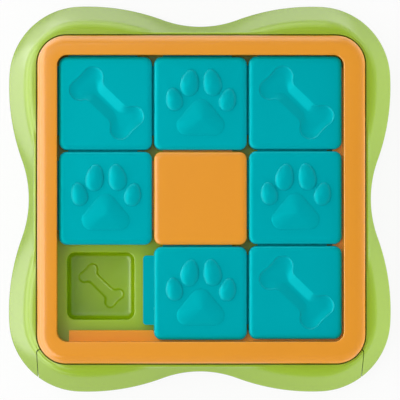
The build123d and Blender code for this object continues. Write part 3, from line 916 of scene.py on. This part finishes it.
bezel = make_bezel()
soften(bezel)
place_piece(bezel, orange, "orange", "base", "frame_bezel")

tray = make_tray()
soften(tray)
place_piece(tray, lime, "lime", "drawer", "treat_tray")

LOOKS = {"lime": lime, "orange": orange, "teal": teal, "rubber": rubber, "steel": steel}
BODIES = {"front_right": "front_right_tile", "front_centre": "front_centre_tile"}
ROWS = (("bone", "paw", "bone"), ("paw", "plain", "paw"), (None, "paw", "bone"))
cap_meshes = {kind: cap_mesh(kind) for kind in ("bone", "paw", "plain")}
for row, row_name in zip(ROWS, ("back", "middle", "front")):
    for kind, column_name in zip(row, ("left", "centre", "right")):
        if kind is None:
            continue
        cell = f"{row_name}_{column_name}"
        spot = (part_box("cap_" + cell)[0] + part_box("cap_" + cell)[1]) / 2
        cap = bpy.data.objects.new("tile_top_" + cell, cap_meshes[kind].copy())
        bpy.context.scene.collection.objects.link(cap)
        cap.location = (spot.x, spot.y, 0)
        slot = "orange" if kind == "plain" else "teal"
        place_piece(cap, LOOKS[slot], slot, BODIES.get(cell, "base"), "cap_" + cell)

SLOTS = {
    "base_floor": "lime",
    "guide_frame": "orange",
    "floor_screws": "steel",
    "frame_screws": "steel",
    "slider_middle_centre": "orange",
}
for name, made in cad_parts.items():
    if made.hide_render:
        continue
    slot = "rubber" if name.startswith("foot") else SLOTS.get(name, "teal")
    dress(made, LOOKS[slot])

# ---- Floor, lights and camera


def white_rays(tree):
    """1 for the rays that see the white background: from the camera, off gloss and through glass."""
    ray = tree.nodes.new("ShaderNodeLightPath")
    shown = ray.outputs["Is Camera Ray"]
    for name in ("Is Glossy Ray", "Is Transmission Ray"):
        either = node(tree, "ShaderNodeMath", operation="MAXIMUM")
        tree.links.new(shown, either.inputs[0])
        tree.links.new(ray.outputs[name], either.inputs[1])
        shown = either.outputs[0]
    return shown


def make_floor():
    """A wide floor that looks white, keeps the object's shadow and throws little light back."""
    mesh = bpy.data.meshes.new("floor")
    reach = 3.0
    corners = [(-reach, -reach, 0), (reach, -reach, 0), (reach, reach, 0), (-reach, reach, 0)]
    mesh.from_pydata(corners, [], [(0, 1, 2, 3)])
    floor = bpy.data.objects.new("floor", mesh)
    bpy.context.scene.collection.objects.link(floor)
    made = bpy.data.materials.new("pale_floor")
    made.use_nodes = True
    tree = made.node_tree
    shader = tree.nodes["Principled BSDF"]
    shader.inputs["Roughness"].default_value = 0.9
    glow = node(tree, "ShaderNodeEmission", Color=(1, 1, 1, 1), Strength=1.0)
    seen = white_rays(tree)
    paint = node(tree, "ShaderNodeMix", data_type="RGBA")
    paint.inputs["A"].default_value = (0.1, 0.1, 0.1, 1)
    paint.inputs["B"].default_value = (0.9, 0.9, 0.9, 1)
    tree.links.new(seen, paint.inputs["Factor"])
    tree.links.new(paint.outputs["Result"], shader.inputs["Base Color"])
    share = node(tree, "ShaderNodeMath", operation="MULTIPLY")
    share.inputs[1].default_value = 0.9
    tree.links.new(seen, share.inputs[0])
    mix = tree.nodes.new("ShaderNodeMixShader")
    tree.links.new(share.outputs[0], mix.inputs["Fac"])
    tree.links.new(shader.outputs[0], mix.inputs[1])
    tree.links.new(glow.outputs[0], mix.inputs[2])
    tree.links.new(mix.outputs[0], tree.nodes["Material Output"].inputs["Surface"])
    mesh.materials.append(made)


def softbox(name, location, size, radiance, aim=(0, 0, 0.05), fills=True, shines=True):
    """A soft rectangular lamp. It fills, or shines in reflections, or both."""
    data = bpy.data.lights.new(name, "AREA")
    data.shape = "RECTANGLE"
    data.size, data.size_y = size
    data.energy = radiance * math.pi * size[0] * size[1]
    made = bpy.data.objects.new(name, data)
    bpy.context.scene.collection.objects.link(made)
    made.location = location
    made.rotation_euler = (Vector(aim) - Vector(location)).to_track_quat("-Z", "Y").to_euler()
    made.visible_camera = False
    made.visible_diffuse = fills
    made.visible_glossy = shines


def low_softbox(name, x, y, size, radiance, **kind):
    """A lamp close to the floor on the X or the Y axis, which faces inward and up."""
    out, level, aim_out, aim_level = 0.371, 0.126, 0.228, 0.39
    aim = (x * aim_out, y * aim_out, aim_level)
    softbox(name, (x * out, y * out, level), size, radiance, aim, **kind)


def make_world():
    """Soft light all round, and plain white where the background shows."""
    world = bpy.data.worlds.new("studio")
    bpy.context.scene.world = world
    world.use_nodes = True
    sky = world.node_tree
    background = sky.nodes["Background"]
    background.inputs["Color"].default_value = (1, 1, 1, 1)
    background.inputs["Strength"].default_value = 0.08
    white = node(sky, "ShaderNodeBackground", Color=(1, 1, 1, 1), Strength=1.0)
    mix = sky.nodes.new("ShaderNodeMixShader")
    sky.links.new(white_rays(sky), mix.inputs["Fac"])
    sky.links.new(background.outputs[0], mix.inputs[1])
    sky.links.new(white.outputs[0], mix.inputs[2])
    sky.links.new(mix.outputs[0], sky.nodes["World Output"].inputs["Surface"])


def make_camera(spot, aim, lens):
    """A long lens that looks straight down, but for a small lean. +Y is up in the picture."""
    data = bpy.data.cameras.new("camera")
    data.sensor_width = 36.0
    data.lens = lens
    data.clip_end = 20.0
    camera = bpy.data.objects.new("camera", data)
    bpy.context.scene.collection.objects.link(camera)
    backward = (spot - aim).normalized()
    rightward = Vector((0, 1, 0)).cross(backward).normalized()
    upward = backward.cross(rightward)
    turn = Matrix((rightward, upward, backward)).transposed()
    camera.matrix_world = Matrix.Translation(spot) @ turn.to_4x4()
    bpy.context.scene.camera = camera


SIDE_FILL = (2.0, 1.3)
LOW_FILL = (0.9, 0.52)
LOW_SHINE = (1.5, 0.52)
LEFT_TOP = (-0.52, 0.25, 1.4)
make_floor()
softbox("left_top_fill", LEFT_TOP, (1.2, 0.5), 1.75, shines=False)
softbox("left_fill", (-1.0, -0.1, 0.8), SIDE_FILL, 1.5, shines=False)
softbox("left_shine", (-1.1, -0.2, 0.45), (2.4, 0.9), 3.2, fills=False)
softbox("left_high_shine", (-0.85, -0.3, 0.98), (2.0, 0.5), 4.0, fills=False)
softbox("left_top_shine", LEFT_TOP, (1.2, 0.55), 4.8, fills=False)
low_softbox("left_low_shine", -1, 0, LOW_SHINE, 1.6, fills=False)
softbox("corner_low_shine", (-0.29, 0.29, 0.126), LOW_FILL, 1.0, (-0.19, 0.19, 0.39), fills=False)
softbox("back_fill", (-0.2, 1.0, 0.8), SIDE_FILL, 0.7, shines=False)
softbox("back_shine", (-0.3, 1.2, 0.5), (1.4, 1.0), 1.6, fills=False)
low_softbox("back_low_shine", 0, 1, LOW_SHINE, 0.8, fills=False)
low_softbox("back_low_fill", 0, 1, LOW_FILL, 1.2, shines=False)
low_softbox("right_low_fill", 1, 0, LOW_FILL, 1.5, shines=False)
low_softbox("front_low_fill", 0, -1, LOW_FILL, 0.6, shines=False)
softbox("right_fill", (1.0, 0.0, 0.8), SIDE_FILL, 0.4, shines=False)
softbox("front_fill", (0.1, -1.0, 0.8), SIDE_FILL, 0.6, shines=False)
make_world()
make_camera(Vector((-0.021, -0.029, 2.045)), Vector((-0.0003, -0.0012, 0.045)), 263.1)
bpy.context.scene.view_settings.view_transform = "Standard"
